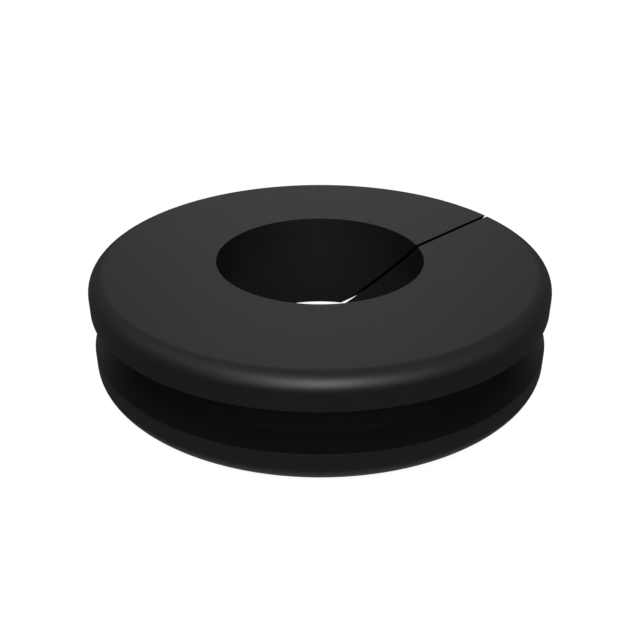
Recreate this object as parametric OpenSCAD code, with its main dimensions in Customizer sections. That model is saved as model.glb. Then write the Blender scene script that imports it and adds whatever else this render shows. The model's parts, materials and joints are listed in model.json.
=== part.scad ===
// Split rubber grommet: a moulded ring with a panel groove round its outside,
// a plain cable bore through its middle and one leaning knife slit through its wall.
// Millimetres. The ring lies on its lower flange: Z runs up the bore from the lower face,
// and X points along the radius that the slit crosses at half height.

/* [Bore] */
// Diameter of the cable bore
bore_d = 10; // [4:0.5:15]

/* [Panel groove] */
// Diameter of the groove's floor, which is the panel hole it seats in
groove_d = 19; // [17:0.5:21]
// Width of the groove, which is the thickness of panel it takes
groove_w = 2; // [0.8:0.1:6]

/* [Flanges] */
// Diameter over the two flanges
flange_d = 22; // [20.5:0.5:40]
// Thickness of each flange at the bore
flange_t = 1.5; // [0.8:0.1:4]
// Radius that rounds the outer edge of each end face
rim_r = 0.75; // [0.1:0.05:1.2]

/* [Slit] */
// Gap between the two cut faces
slit_gap = 0.15; // [0.05:0.05:0.6]
// Lean of the cut from upright, in degrees
slit_lean = 45; // [0:1:60]

/* [Hidden] */
$fn = 128;

bore_r = bore_d / 2;
groove_r = groove_d / 2;
flange_r = flange_d / 2;
height = 2 * flange_t + groove_w;
mid_height = height / 2;

// The rim's round stays inside the flange that it rounds, and leaves some upright rim under it
rim_share = 0.9;
rim = min(rim_r, rim_share * flange_t, rim_share * (flange_r - bore_r));

// How far the slit's blade passes outside the ring, so that its ends cut clean
blade_overrun = 2;
blade_reach = flange_r + blade_overrun;
blade_height = height / cos(slit_lean) + 2 * (blade_overrun + slit_gap);

rubber_black = "#2a2a2c";

// What a rounded corner takes off a square one. The corner is at the origin, in the first quadrant
module corner_waste(r) {
  difference() {
    square(r);
    translate([r, r]) circle(r);
  }
}

// Section of the lower flange, in radius and height, with its outer lower edge rounded
module flange_section() {
  difference() {
    translate([bore_r, 0]) square([flange_r - bore_r, flange_t]);
    translate([flange_r, 0]) mirror([1, 0]) corner_waste(rim);
  }
}

// Section of the neck that joins the flanges: its outer side is the groove's floor
module neck_section() {
  translate([bore_r, flange_t]) square([groove_r - bore_r, groove_w]);
}

// Section of the whole ring: the upper flange is the lower one turned over about half height
module ring_section() {
  flange_section();
  neck_section();
  translate([0, height]) mirror([0, 1]) flange_section();
}

// The thin slab that the blade sweeps, from the axis outwards along X.
// It leans about the X radius at half height, so that it opens towards -Y on the upper face
module slit() {
  translate([0, 0, mid_height])
    rotate([slit_lean, 0, 0])
      translate([0, -slit_gap / 2, -blade_height / 2])
        cube([blade_reach, slit_gap, blade_height]);
}

// The ring as moulded. Its turn starts at -X, away from the slit, so that each ring face stays whole
module ring() {
  rotate([0, 0, 180]) rotate_extrude() ring_section();
}

// The grommet, moulded as one ring and then slit
module grommet() {
  color(rubber_black)
    difference() {
      ring();
      slit();
    }
}

grommet();
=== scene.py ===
"""Looks of a split rubber grommet: one moulded black ring, lying on a white studio floor.

The ring is a section carried round the bore's axis, from one face of its slit to the other.
The classes hold their sizes in millimetres, and Blender holds the scene in metres.
"""

import json
import logging
import math
from dataclasses import dataclass, field
from enum import Enum

import bpy
import numpy as np
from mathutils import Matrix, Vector
from mathutils.geometry import delaunay_2d_cdt


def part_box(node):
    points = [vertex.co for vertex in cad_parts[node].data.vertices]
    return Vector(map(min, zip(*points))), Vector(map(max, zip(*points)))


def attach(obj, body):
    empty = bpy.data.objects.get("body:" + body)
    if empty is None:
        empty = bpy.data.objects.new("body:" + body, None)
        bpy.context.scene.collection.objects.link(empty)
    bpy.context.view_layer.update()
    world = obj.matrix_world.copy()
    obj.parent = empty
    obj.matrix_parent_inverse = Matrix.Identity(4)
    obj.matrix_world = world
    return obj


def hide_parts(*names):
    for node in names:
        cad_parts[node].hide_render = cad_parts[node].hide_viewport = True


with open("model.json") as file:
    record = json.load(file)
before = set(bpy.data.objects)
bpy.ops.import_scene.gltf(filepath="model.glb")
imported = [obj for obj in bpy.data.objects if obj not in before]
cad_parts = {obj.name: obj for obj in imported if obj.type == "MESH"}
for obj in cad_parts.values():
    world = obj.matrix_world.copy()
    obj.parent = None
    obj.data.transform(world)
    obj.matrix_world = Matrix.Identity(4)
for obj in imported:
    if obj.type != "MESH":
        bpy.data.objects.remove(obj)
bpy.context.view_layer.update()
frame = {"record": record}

MM = 0.001
NODE = "grommet"
UNROLLED = "unrolled"
# How a flat face is filled: only inside its outline, with points merged that lie closer than this
FILL_INSIDE = 1
FILL_MERGE_MM = 1e-5
log = logging.getLogger("grommet")


class Skin(Enum):
    """Which skin of the rubber a face shows, as the number of its material slot."""

    MOULDED = 0
    # The groove floor's skin is darker, with dimmed reflections: painted shade deep in the groove.
    GROOVE_FLOOR = 1
    # The slit faces' skin is nearly black, with dimmed reflections: painted shade in the slit.
    CUT = 2


@dataclass(frozen=True)
class RubberFinish:
    """A skin of black rubber: a mottled base, gloss that varies with it, a fine grain and tool marks.

    Attributes:
        name: the material's name.
        dark: darkest colour of the mottle, linear.
        light: lightest colour of the mottle, linear.
        mottle_mm: size of the mottle's patches.
        smooth: lowest roughness.
        rough: highest roughness.
        shine: strength of the skin's reflections, where 0.5 is plain rubber.
        grain_mm: size of one grain.
        grain_height_mm: height of the grain.
        mark_mm: spacing of the tool's marks across their run.
        mark_run: how many times longer than their spacing the marks run.
        mark_height_mm: height of the tool's marks.
        mottle_span: values of the mottle's noise at which the roughness is lowest and highest.
        mottle_octaves: layers of finer noise in the mottle.
        grain_octaves: layers of finer noise in the grain.
        mark_octaves: layers of finer noise in the tool's marks.
    """

    name: str
    dark: tuple[float, float, float]
    light: tuple[float, float, float]
    mottle_mm: float
    smooth: float
    rough: float
    shine: float
    grain_mm: float
    grain_height_mm: float
    mark_mm: float
    mark_run: float
    mark_height_mm: float
    mottle_span: tuple[float, float] = (0.3, 0.7)
    mottle_octaves: float = 3.0
    grain_octaves: float = 2.0
    mark_octaves: float = 2.0

    def material(self) -> bpy.types.Material:
        """Makes the material.

        Returns:
            A node material whose mottle and grain follow Object coordinates and whose tool marks
            follow the ring's own map.
        """
        made = bpy.data.materials.new(self.name)
        made.use_nodes = True
        tree = made.node_tree
        shader = tree.nodes["Principled BSDF"]
        shader.inputs["Specular IOR Level"].default_value = self.shine
        place = tree.nodes.new("ShaderNodeTexCoord").outputs["Object"]
        mottle = self._noise(tree, place, 1.0 / (self.mottle_mm * MM), self.mottle_octaves)
        self._mottle_colour(tree, mottle, shader.inputs["Base Color"])
        self._mottle_gloss(tree, mottle, shader.inputs["Roughness"])
        grain = self._noise(tree, place, 1.0 / (self.grain_mm * MM), self.grain_octaves)
        raised = self._bump(tree, grain, self.grain_height_mm)
        marks = self._bump(tree, self._tool_marks(tree), self.mark_height_mm)
        tree.links.new(raised.outputs["Normal"], marks.inputs["Normal"])
        tree.links.new(marks.outputs["Normal"], shader.inputs["Normal"])
        return made

    def _mottle_colour(
        self, tree: bpy.types.NodeTree, mottle: bpy.types.NodeSocket, colour: bpy.types.NodeSocket
    ) -> None:
        """Blends the dark colour into the light one by the mottle.

        Args:
            tree: the material's nodes.
            mottle: the mottle's value, from 0 to 1.
            colour: the shader's socket that takes the blend.
        """
        blend = tree.nodes.new("ShaderNodeValToRGB")
        blend.color_ramp.elements[0].color = (*self.dark, 1.0)
        blend.color_ramp.elements[1].color = (*self.light, 1.0)
        tree.links.new(mottle, blend.inputs["Fac"])
        tree.links.new(blend.outputs["Color"], colour)

    def _mottle_gloss(
        self, tree: bpy.types.NodeTree, mottle: bpy.types.NodeSocket, roughness: bpy.types.NodeSocket
    ) -> None:
        """Spreads the roughness between its two ends by the mottle.

        Args:
            tree: the material's nodes.
            mottle: the mottle's value, from 0 to 1.
            roughness: the shader's socket that takes the result.
        """
        gloss = tree.nodes.new("ShaderNodeMapRange")
        gloss.inputs["From Min"].default_value = self.mottle_span[0]
        gloss.inputs["From Max"].default_value = self.mottle_span[1]
        gloss.inputs["To Min"].default_value = self.smooth
        gloss.inputs["To Max"].default_value = self.rough
        tree.links.new(mottle, gloss.inputs["Value"])
        tree.links.new(gloss.outputs["Result"], roughness)

    def _noise(
        self, tree: bpy.types.NodeTree, place: bpy.types.NodeSocket, scale: float, octaves: float
    ) -> bpy.types.NodeSocket:
        """Adds a noise.

        Args:
            tree: the material's nodes.
            place: the coordinates that the noise reads.
            scale: patches per unit of those coordinates.
            octaves: layers of finer noise.

        Returns:
            The noise's value, from 0 to 1.
        """
        noise = tree.nodes.new("ShaderNodeTexNoise")
        noise.inputs["Scale"].default_value = scale
        noise.inputs["Detail"].default_value = octaves
        tree.links.new(place, noise.inputs["Vector"])
        return noise.outputs["Fac"]

    def _tool_marks(self, tree: bpy.types.NodeTree) -> bpy.types.NodeSocket:
        """Adds the faint marks that the turned mould or the blade leaves: a noise drawn out along its run.

        Args:
            tree: the material's nodes.

        Returns:
            The marks' height, from 0 to 1.
        """
        unrolled = tree.nodes.new("ShaderNodeUVMap")
        unrolled.uv_map = UNROLLED
        stretch = tree.nodes.new("ShaderNodeMapping")
        across = 1.0 / self.mark_mm
        stretch.inputs["Scale"].default_value = (across / self.mark_run, across, 1.0)
        tree.links.new(unrolled.outputs["UV"], stretch.inputs["Vector"])
        return self._noise(tree, stretch.outputs["Vector"], 1.0, self.mark_octaves)

    def _bump(
        self, tree: bpy.types.NodeTree, height: bpy.types.NodeSocket, tall_mm: float
    ) -> bpy.types.ShaderNodeBump:
        """Adds a bump.

        Args:
            tree: the material's nodes.
            height: the height it reads, from 0 to 1.
            tall_mm: what a height of 1 stands for.

        Returns:
            The bump node, whose Normal input is still free.
        """
        bump = tree.nodes.new("ShaderNodeBump")
        bump.inputs["Distance"].default_value = tall_mm * MM
        tree.links.new(height, bump.inputs["Height"])
        return bump


MOULDED_SKIN = RubberFinish(
    name="moulded_rubber",
    dark=(0.0056, 0.0056, 0.0057),
    light=(0.0076, 0.0076, 0.0077),
    mottle_mm=1.6,
    smooth=0.385,
    rough=0.405,
    shine=0.5,
    grain_mm=0.07,
    grain_height_mm=0.004,
    mark_mm=0.12,
    mark_run=50.0,
    mark_height_mm=0.001,
)
# Painted shade in the groove: the floor's colour is darker and its reflections dimmed, as if the flanges
# shaded it. Its higher roughness and its grain are the rubber's own.
GROOVE_FLOOR_PAINTED_SHADE = RubberFinish(
    name="groove_floor_rubber",
    dark=(0.0047, 0.0046, 0.0054),
    light=(0.0063, 0.0062, 0.0072),
    mottle_mm=1.6,
    smooth=0.58,
    rough=0.62,
    shine=0.13,
    grain_mm=0.09,
    grain_height_mm=0.004,
    mark_mm=0.12,
    mark_run=50.0,
    mark_height_mm=0.0015,
)
# Painted shade in the slit: the cut faces' colour is nearly black and their reflections dimmed, so the
# narrow slit reads black. Their rougher, matt grain is the cut's own.
CUT_FACE_PAINTED_SHADE = RubberFinish(
    name="cut_rubber",
    dark=(0.0012, 0.0012, 0.0012),
    light=(0.002, 0.002, 0.002),
    mottle_mm=0.8,
    smooth=0.6,
    rough=0.7,
    shine=0.1,
    grain_mm=0.05,
    grain_height_mm=0.0012,
    mark_mm=0.06,
    mark_run=50.0,
    mark_height_mm=0.002,
)


@dataclass(frozen=True)
class Section:
    """The ring's section as a closed loop of points.

    Attributes:
        radius: distance of each point from the bore's axis, in mm.
        height: height of each point above the lower end face, in mm.
        normal: outward unit normal at each point, as (radial, upward) pairs.
        skin: number of the skin on the stretch that follows each point.
        along: length of the loop up to each point, in mm, with the whole loop's length last.
    """

    radius: np.ndarray
    height: np.ndarray
    normal: np.ndarray
    skin: np.ndarray
    along: np.ndarray


@dataclass
class GrommetRing:
    """The moulded ring: two round-edged flanges, the groove between them, the cable bore and the slit.

    Attributes:
        bore_d: diameter of the cable bore.
        groove_d: diameter of the groove's floor.
        groove_w: width of the groove.
        flange_d: diameter over the flanges.
        flange_t: thickness of each flange.
        rim_r: radius round the outer edge of each end face.
        slit_gap: gap between the slit's two faces.
        slit_lean: lean of the slit from upright, in degrees.
        lip_r: breaking of the groove's lips and the bore's mouths, too fine for the solid.
        root_r: radius in the groove's two inner corners, too fine for the solid.
        rim_steps: facets round each rim's radius.
        edge_steps: facets round each fine edge.
        run_mm: longest facet along the section's straight runs.
        columns: facets round the ring.
        settle: share of the turn over which the facets straighten from the slit's lean.
        skins: the finish of each skin.
    """

    bore_d: float = 10.0
    groove_d: float = 19.0
    groove_w: float = 2.0
    flange_d: float = 22.0
    flange_t: float = 1.5
    rim_r: float = 0.75
    slit_gap: float = 0.15
    slit_lean: float = 45.0
    lip_r: float = 0.005
    root_r: float = 0.005
    rim_steps: int = 16
    edge_steps: int = 2
    run_mm: float = 0.28
    columns: int = 288
    settle: float = 0.2
    skins: dict[Skin, RubberFinish] = field(
        default_factory=lambda: {
            Skin.MOULDED: MOULDED_SKIN,
            Skin.GROOVE_FLOOR: GROOVE_FLOOR_PAINTED_SHADE,
            Skin.CUT: CUT_FACE_PAINTED_SHADE,
        }
    )

    @classmethod
    def from_frame(cls) -> "GrommetRing":
        """Takes every size that the frame holds from its solid and its mounts.

        Returns:
            A ring that fills the solid's box, with the bore and groove that the mounts state.
        """
        low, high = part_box(NODE)
        # The solid's facets fall a few microns short of its true circle, so its box is read to a hundredth
        across, _, tall = (round(side / MM, 2) for side in high - low)
        stated = {mount["name"]: mount["dims"] for mount in frame["record"]["mounts"]}
        bore, groove = stated["bore"], stated["panel_groove"]
        return cls(
            bore_d=2.0 * bore["r_mm"],
            groove_d=2.0 * groove["r_mm"],
            groove_w=groove["length_mm"],
            flange_d=across,
            flange_t=(tall - groove["length_mm"]) / 2.0,
        )

    @property
    def height(self) -> float:
        """Thickness of the whole ring."""
        return 2.0 * self.flange_t + self.groove_w

    def section(self) -> Section:
        """Walks round the section's eight corners, each one rounded by its own radius.

        A corner's arc is its centre plus the radius times the unit normal, whose angle turns evenly
        through the corner's quarter turn. The centre lies inside an outer corner and outside an inner
        one. A straight run joins the end of each arc to the start of the next, with points at an even
        spacing and one normal.

        Returns:
            The loop, anticlockwise with radius to the right and height up, from the bore's lower mouth.
        """
        bore, floor, rim = self.bore_d / 2, self.groove_d / 2, self.flange_d / 2
        low, high, top = self.flange_t, self.flange_t + self.groove_w, self.height
        lower_half = [(bore, 0.0), (rim, 0.0), (rim, low), (floor, low)]
        upper_half = [(floor, high), (rim, high), (rim, top), (bore, top)]
        corners = np.array(lower_half + upper_half)
        half_radii = [self.lip_r, self.rim_r, self.lip_r, self.root_r]
        radii = np.array(half_radii + half_radii[::-1])
        lower_root = lower_half.index((floor, low))
        # Unit directions out of and into each corner. The turn is 1 at an outer one, -1 at an inner one
        leave = np.roll(corners, -1, axis=0) - corners
        leave /= np.linalg.norm(leave, axis=1, keepdims=True)
        reach = np.roll(leave, 1, axis=0)
        turn = np.sign(reach[:, 0] * leave[:, 1] - reach[:, 1] * leave[:, 0])
        centres = corners + radii[:, None] * (leave - reach)
        places, normals, skins = [], [], []
        for k in range(len(corners)):
            # The groove floor takes the darker skin, which is painted shade.
            skin = Skin.GROOVE_FLOOR if k == lower_root else Skin.MOULDED
            steps = self.rim_steps if radii[k] == self.rim_r else self.edge_steps
            start = math.atan2(-reach[k, 0], reach[k, 1])
            angle = start + turn[k] * np.linspace(0.0, math.pi / 2, steps + 1)
            outward = np.column_stack([np.cos(angle), np.sin(angle)])
            arc = centres[k] + turn[k] * radii[k] * outward
            after = (k + 1) % len(corners)
            ahead = corners[after] - reach[after] * radii[after]
            count = max(1, math.ceil(np.linalg.norm(ahead - arc[-1]) / self.run_mm))
            share = np.arange(1, count)[:, None] / count
            places += [arc, arc[-1] + share * (ahead - arc[-1])]
            normals += [outward, np.repeat(outward[-1:], count - 1, axis=0)]
            skins += [np.full(steps + count, skin.value)]
        loop, normal = np.vstack(places), np.vstack(normals)
        steps_mm = np.linalg.norm(np.roll(loop, -1, axis=0) - loop, axis=1)
        along = np.concatenate([[0.0], np.cumsum(steps_mm)])
        return Section(loop[:, 0], loop[:, 1], normal, np.concatenate(skins), along)

    def turn_angles(self, section: Section) -> np.ndarray:
        """Works out the angle of each grid point round the bore's axis.

        The slit's middle plane leans about the +X radius at half height, so on it the offset along Y is
        the height left to half height times the tangent of the lean. Each slit face lies half a gap to
        the side, measured square to the plane. A section point meets a face at the angle whose sine is
        that offset over its radius. Columns run evenly round the turn. The first and last share the
        faces' angles, and a smooth step lets go of them over the first and last part of the turn.

        Args:
            section: the ring's section.

        Returns:
            Angles in radians, one row for each column and one entry for each section point.
        """
        lean = math.radians(self.slit_lean)
        middle = (self.height / 2 - section.height) * math.tan(lean)
        half = self.slit_gap / (2 * math.cos(lean))
        first = np.arcsin((middle + half) / section.radius)
        last = np.arcsin((middle - half) / section.radius)
        turn = np.linspace(0.0, 1.0, self.columns + 1)[:, None]
        near = ease(1.0 - turn / self.settle)
        far = ease(1.0 - (1.0 - turn) / self.settle)
        return 2.0 * math.pi * turn + first * near + last * far

    def build(self) -> bpy.types.Object:
        """Builds the ring as one closed mesh: a grid of columns by section points, closed at the slit.

        A grid point is (radius times cosine, radius times sine, height) of its column's angle. Its
        normal is the section's normal, turned by the same angle. The slit's two flat faces close the
        grid's ends and take the slit plane's own normal.

        Returns:
            The ring's object, at the origin.
        """
        section = self.section()
        angles = self.turn_angles(section)
        cosine, sine = np.cos(angles), np.sin(angles)
        heights = np.broadcast_to(section.height, angles.shape)
        points = np.stack([section.radius * cosine, section.radius * sine, heights], axis=-1)
        radial = section.normal[:, 0]
        upward = np.broadcast_to(section.normal[:, 1], angles.shape)
        normals = np.stack([radial * cosine, radial * sine, upward], axis=-1).reshape(-1, 3)

        number = np.arange(angles.size).reshape(angles.shape)
        after = np.roll(number, -1, axis=1)
        quads = np.stack([number[:-1], number[1:], after[1:], after[:-1]], axis=-1).reshape(-1, 4)
        fill = self._slit_fill(points[0])
        slit_faces = np.vstack([number[0][fill], number[-1][fill[:, ::-1]]])
        lean = math.radians(self.slit_lean)
        square = np.array([0.0, math.cos(lean), math.sin(lean)])
        slit_normals = np.repeat([-square, square], fill.size, axis=0)

        mesh = bpy.data.meshes.new("grommet_ring")
        mesh.from_pydata((points.reshape(-1, 3) * MM).tolist(), [], quads.tolist() + slit_faces.tolist())
        mesh.polygons.foreach_set("use_smooth", np.ones(len(mesh.polygons), dtype=bool))
        # The slit faces take the nearly black skin, which is painted shade.
        skins = [np.tile(section.skin, self.columns), np.full(len(slit_faces), Skin.CUT.value)]
        mesh.polygons.foreach_set("material_index", np.concatenate(skins))
        mesh.normals_split_custom_set(np.vstack([normals[quads.ravel()], slit_normals]))
        self._unroll(mesh, section, fill)
        mesh.validate()
        return add_object("grommet_ring", mesh)

    def _slit_fill(self, outline: np.ndarray) -> np.ndarray:
        """Fills a slit face with triangles between the points of its outline.

        The face is flat, so it is filled in its own plane: X by the height over the cosine of the lean.

        Args:
            outline: the face's points, in mm, in the section's order.

        Returns:
            The numbers of each triangle's three points, anticlockwise like the section.
        """
        flat = outline[:, [0, 2]] / [1.0, math.cos(math.radians(self.slit_lean))]
        whole = [list(range(len(flat)))]
        _, _, triangles, *_ = delaunay_2d_cdt(flat.tolist(), [], whole, FILL_INSIDE, FILL_MERGE_MM)
        return np.array(triangles)

    def _unroll(self, mesh: bpy.types.Mesh, section: Section, fill: np.ndarray) -> None:
        """Writes the ring's unrolled map, in mm: the turn at the groove's floor by the section's length.

        The slit's faces take their own radius and height.

        Args:
            mesh: the ring's mesh.
            section: the ring's section.
            fill: the numbers of each triangle's points on a slit face.
        """
        whole = (self.columns, len(section.radius))
        across = np.linspace(0.0, math.pi * self.groove_d, self.columns + 1)
        left, right = across[:-1, None], across[1:, None]
        below, above = section.along[None, :-1], section.along[None, 1:]
        across_corners = np.stack([np.broadcast_to(v, whole) for v in (left, right, right, left)], axis=-1)
        up_corners = np.stack([np.broadcast_to(v, whole) for v in (below, below, above, above)], axis=-1)
        grid = np.stack([across_corners, up_corners], axis=-1).reshape(-1, 2)
        face = np.column_stack([section.radius, section.height])
        corners = np.vstack([grid, face[fill.ravel()], face[fill[:, ::-1].ravel()]])
        mesh.uv_layers.new(name=UNROLLED).uv.foreach_set("vector", corners.ravel())

    def dress(self, piece: bpy.types.Object) -> None:
        """Gives the ring its skins.

        Args:
            piece: the ring's object.
        """
        for skin in Skin:
            piece.data.materials.append(self.skins[skin].material())


@dataclass(frozen=True)
class Softbox:
    """A soft rectangular studio light that faces the ring.

    Attributes:
        name: the light's name.
        azimuth: its direction round the ring from +X, in degrees.
        elevation: its height above the floor, in degrees.
        width_mm: its width.
        depth_mm: its other side.
        brightness: what its face sends each way, where white paper in full light is 1.
    """

    name: str
    azimuth: float
    elevation: float
    width_mm: float
    depth_mm: float
    brightness: float

    def hang(self, target: Vector, distance_mm: float) -> bpy.types.Object:
        """Hangs the light. Its power is its brightness times its area times pi.

        Args:
            target: the point that it faces, in metres.
            distance_mm: how far from that point it hangs.

        Returns:
            The light's object.
        """
        lamp = bpy.data.lights.new(self.name, "AREA")
        lamp.shape = "RECTANGLE"
        lamp.size = self.width_mm * MM
        lamp.size_y = self.depth_mm * MM
        lamp.energy = self.brightness * math.pi * lamp.size * lamp.size_y
        held = add_object(self.name, lamp)
        stand_facing(held, target, direction(self.azimuth, self.elevation), distance_mm)
        return held


@dataclass(frozen=True)
class Studio:
    """The white studio: glowing floor, softboxes, dim surround and camera.

    Attributes:
        floor_mm: radius of the floor.
        floor_sides: straight sides round its edge.
        floor_glow: brightness that the floor gives off by itself round the ring.
        far_glow: the same, far off, where it meets the white surround.
        glow_near_mm: distance from the ring at which the floor's glow starts to change.
        glow_far_mm: distance at which it has changed.
        floor_colour: share of the studio's light that the floor gives back, which sets its shadows.
        softbox_mm: how far the softboxes hang from the ring.
        softboxes: the lights.
        surround: brightness of the surround at each height, from -1 straight down to 1 straight up.
        camera_azimuth: the camera's direction round the ring from +X, in degrees.
        camera_elevation: its height above the floor, in degrees.
        camera_mm: its distance from the point that it looks at.
        aim_mm: height of that point on the bore's axis.
        lens_mm: its focal length.
        sensor_mm: width of its sensor.
        clip_mm: nearest and farthest distance that it sees.
    """

    floor_mm: float = 2000.0
    floor_sides: int = 64
    floor_glow: float = 0.9
    far_glow: float = 1.0
    glow_near_mm: float = 60.0
    glow_far_mm: float = 350.0
    floor_colour: float = 0.2
    softbox_mm: float = 300.0
    softboxes: tuple[Softbox, ...] = (
        Softbox("key", -135.0, 37.0, 110.0, 180.0, 5.2),
        Softbox("left_front", -150.0, 40.0, 250.0, 350.0, 0.89),
        Softbox("right_front", -107.0, 30.0, 150.0, 200.0, 0.99),
        Softbox("right", -65.0, 30.0, 250.0, 250.0, 0.2),
        Softbox("left", 145.0, 50.0, 280.0, 280.0, 0.25),
        Softbox("high_back", 45.0, 38.0, 120.0, 140.0, 0.39),
        Softbox("low_back", 45.0, 20.0, 250.0, 100.0, 0.135),
    )
    surround: tuple[tuple[float, float], ...] = (
        (-1.0, 0.32), (-0.85, 0.3), (-0.6, 0.055), (-0.2, 0.095), (0.2, 0.12), (1.0, 0.34)
    )
    camera_azimuth: float = -135.0
    camera_elevation: float = 28.4
    camera_mm: float = 42.5
    aim_mm: float = 1.52
    lens_mm: float = 47.5
    sensor_mm: float = 36.0
    clip_mm: tuple[float, float] = (1.0, 10000.0)

    def lay_floor(self) -> bpy.types.Object:
        """Lays the floor: a flat white disc under the ring, which glows only to the eye.

        Returns:
            The floor's object.
        """
        angle = np.arange(self.floor_sides) * (2.0 * math.pi / self.floor_sides)
        edge = np.column_stack([np.cos(angle), np.sin(angle), np.zeros_like(angle)]) * self.floor_mm * MM
        mesh = bpy.data.meshes.new("studio_floor")
        mesh.from_pydata(edge.tolist(), [], [list(range(self.floor_sides))])
        mesh.materials.append(self._floor_sheet())
        floor = add_object("studio_floor", mesh)
        floor.visible_diffuse = False
        floor.visible_glossy = False
        floor.visible_shadow = False
        return floor

    def _floor_sheet(self) -> bpy.types.Material:
        """Makes the floor's finish.

        Returns:
            A matt white material whose glow grows with the distance from the ring, so that the floor
            has no edge.
        """
        sheet = bpy.data.materials.new("glowing_white")
        sheet.use_nodes = True
        sheet.cycles.emission_sampling = "NONE"
        tree = sheet.node_tree
        shader = tree.nodes["Principled BSDF"]
        shader.inputs["Base Color"].default_value = grey(self.floor_colour)
        shader.inputs["Roughness"].default_value = 1.0
        shader.inputs["Specular IOR Level"].default_value = 0.0
        shader.inputs["Emission Color"].default_value = grey(1.0)
        away = tree.nodes.new("ShaderNodeVectorMath")
        away.operation = "LENGTH"
        tree.links.new(tree.nodes.new("ShaderNodeTexCoord").outputs["Object"], away.inputs["Vector"])
        glow = tree.nodes.new("ShaderNodeMapRange")
        glow.inputs["From Min"].default_value = self.glow_near_mm * MM
        glow.inputs["From Max"].default_value = self.glow_far_mm * MM
        glow.inputs["To Min"].default_value = self.floor_glow
        glow.inputs["To Max"].default_value = self.far_glow
        tree.links.new(away.outputs["Value"], glow.inputs["Value"])
        tree.links.new(glow.outputs["Result"], shader.inputs["Emission Strength"])
        return sheet

    def light(self) -> None:
        """Sets the surround and hangs the softboxes."""
        bpy.context.scene.world = self._surround_world()
        for softbox in self.softboxes:
            softbox.hang(self.target(), self.softbox_mm)
            log.info("softbox %s at %.0f, %.0f degrees", softbox.name, softbox.azimuth, softbox.elevation)

    def _surround_world(self) -> bpy.types.World:
        """Makes the surround: a grey that changes with height, seen as plain white behind the ring.

        Returns:
            The world.
        """
        world = bpy.data.worlds.new("studio")
        world.use_nodes = True
        tree = world.node_tree
        dim = tree.nodes["Background"]
        upward = tree.nodes.new("ShaderNodeSeparateXYZ")
        tree.links.new(tree.nodes.new("ShaderNodeTexCoord").outputs["Generated"], upward.inputs["Vector"])
        share = tree.nodes.new("ShaderNodeMapRange")
        share.inputs["From Min"].default_value = -1.0
        tree.links.new(upward.outputs["Z"], share.inputs["Value"])
        greys = tree.nodes.new("ShaderNodeValToRGB")
        stops = greys.color_ramp.elements
        for height, _ in self.surround[1:-1]:
            stops.new((height + 1.0) / 2.0)
        for stop, (_, brightness) in zip(stops, self.surround):
            stop.color = grey(brightness)
        tree.links.new(share.outputs["Result"], greys.inputs["Fac"])
        tree.links.new(greys.outputs["Color"], dim.inputs["Color"])
        white = tree.nodes.new("ShaderNodeBackground")
        white.inputs["Color"].default_value = grey(1.0)
        seen = tree.nodes.new("ShaderNodeMixShader")
        tree.links.new(tree.nodes.new("ShaderNodeLightPath").outputs["Is Camera Ray"], seen.inputs["Fac"])
        tree.links.new(dim.outputs["Background"], seen.inputs[1])
        tree.links.new(white.outputs["Background"], seen.inputs[2])
        tree.links.new(seen.outputs["Shader"], tree.nodes["World Output"].inputs["Surface"])
        return world

    def target(self) -> Vector:
        """The point that the camera looks at, in metres."""
        return Vector((0.0, 0.0, self.aim_mm * MM))

    def set_camera(self) -> bpy.types.Object:
        """Stands the camera where the photograph was taken.

        Returns:
            The camera's object.
        """
        lens = bpy.data.cameras.new("photo_camera")
        lens.sensor_width = self.sensor_mm
        lens.lens = self.lens_mm
        lens.clip_start = self.clip_mm[0] * MM
        lens.clip_end = self.clip_mm[1] * MM
        camera = add_object("photo_camera", lens)
        away = direction(self.camera_azimuth, self.camera_elevation)
        stand_facing(camera, self.target(), away, self.camera_mm)
        bpy.context.scene.camera = camera
        return camera

    def show_plainly(self) -> None:
        """Shows the light's own values, with no film curve."""
        bpy.context.scene.view_settings.view_transform = "Standard"
        bpy.context.scene.view_settings.look = "None"


def direction(azimuth: float, elevation: float) -> Vector:
    """Turns two angles into a direction.

    Args:
        azimuth: angle round the bore's axis from +X, in degrees.
        elevation: angle above the floor, in degrees.

    Returns:
        The unit vector.
    """
    flat = math.cos(math.radians(elevation))
    turn = math.radians(azimuth)
    return Vector((flat * math.cos(turn), flat * math.sin(turn), math.sin(math.radians(elevation))))


def stand_facing(held: bpy.types.Object, target: Vector, away: Vector, distance_mm: float) -> None:
    """Stands a light or a camera away from a point, facing it.

    Args:
        held: the light's or camera's object, which looks along its own -Z.
        target: the point, in metres.
        away: unit vector from the point towards the object.
        distance_mm: how far from the point the object stands.
    """
    held.location = target + away * (distance_mm * MM)
    held.rotation_euler = away.to_track_quat("Z", "Y").to_euler()


def add_object(name: str, data: bpy.types.ID) -> bpy.types.Object:
    """Makes an object at the origin and links it to the scene.

    Args:
        name: the object's name.
        data: its mesh, light or camera.

    Returns:
        The object.
    """
    made = bpy.data.objects.new(name, data)
    bpy.context.scene.collection.objects.link(made)
    return made


def grey(brightness: float) -> tuple[float, float, float, float]:
    """A neutral opaque colour of one linear brightness."""
    return (brightness, brightness, brightness, 1.0)


def ease(share: np.ndarray) -> np.ndarray:
    """Smooths shares so that they start and end level: three times the square less twice the cube.

    Args:
        share: the shares, cut off below 0 and above 1.

    Returns:
        The smoothed shares, from 0 to 1.
    """
    held = np.clip(share, 0.0, 1.0)
    return held * held * (3.0 - 2.0 * held)


def main() -> None:
    """Builds the ring and its studio."""
    logging.basicConfig(level=logging.INFO, format="%(name)s: %(message)s")
    ring = GrommetRing.from_frame()
    piece = ring.build()
    ring.dress(piece)
    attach(piece, "root")
    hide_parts(NODE)
    log.info("ring with %d faces", len(piece.data.polygons))
    studio = Studio()
    studio.lay_floor()
    studio.light()
    studio.set_camera()
    studio.show_plainly()
    log.info("studio set")


if __name__ == "__main__":
    main()
